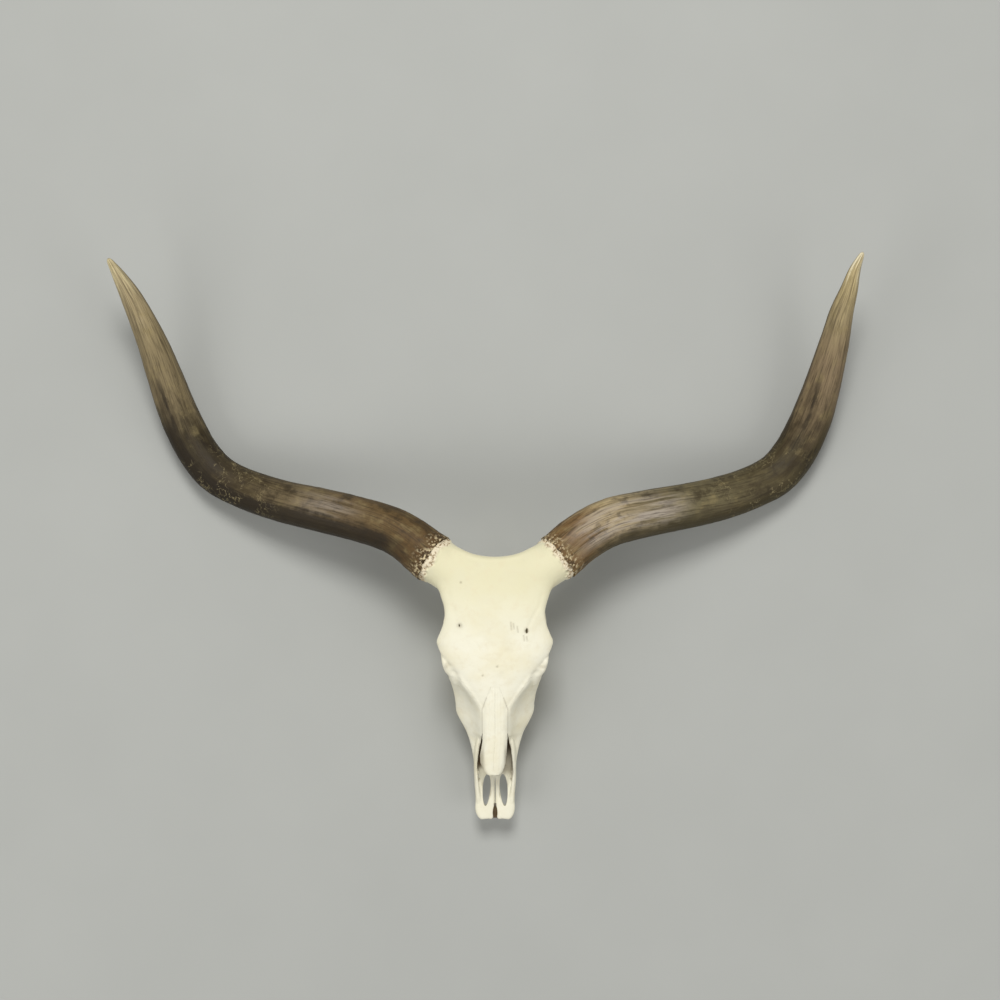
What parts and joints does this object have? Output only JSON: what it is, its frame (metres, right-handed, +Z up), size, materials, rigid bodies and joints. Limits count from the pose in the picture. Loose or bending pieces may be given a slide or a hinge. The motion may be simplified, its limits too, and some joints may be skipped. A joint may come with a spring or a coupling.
{
  "type": "watusi cattle skull with horns",
  "caption": "Cleaned skull of a long-horned cow, upper jaw only, with wide lyre-shaped horns, lying on its cheek teeth and on the bends of its horns.",
  "frame": {"origin": "centre of the bottom of the bounding box, on the floor the skull lies on", "axes": "+X across the horns, to the animal's left; +Y along the skull from the muzzle to the poll and on to the horn tips; +Z up, out of the forehead"},
  "size_m": [1.3028, 0.997, 0.2062],
  "materials": {
    "bone": "dry, cream-coloured cleaned bone, matte",
    "horn": "brown fibrous horn, dark at the bends and pale at the tips, faint sheen"
  },
  "bodies": {
    "root": {"cranium": "bone", "occipital": "bone", "zygomatic_left": "bone", "zygomatic_right": "bone", "maxilla_left": "bone", "maxilla_right": "bone", "nasal_left": "bone", "nasal_right": "bone", "premaxilla_left": "bone", "premaxilla_right": "bone", "vomer": "bone", "horn_left": "horn", "horn_right": "horn"}
  },
  "joints": []
}
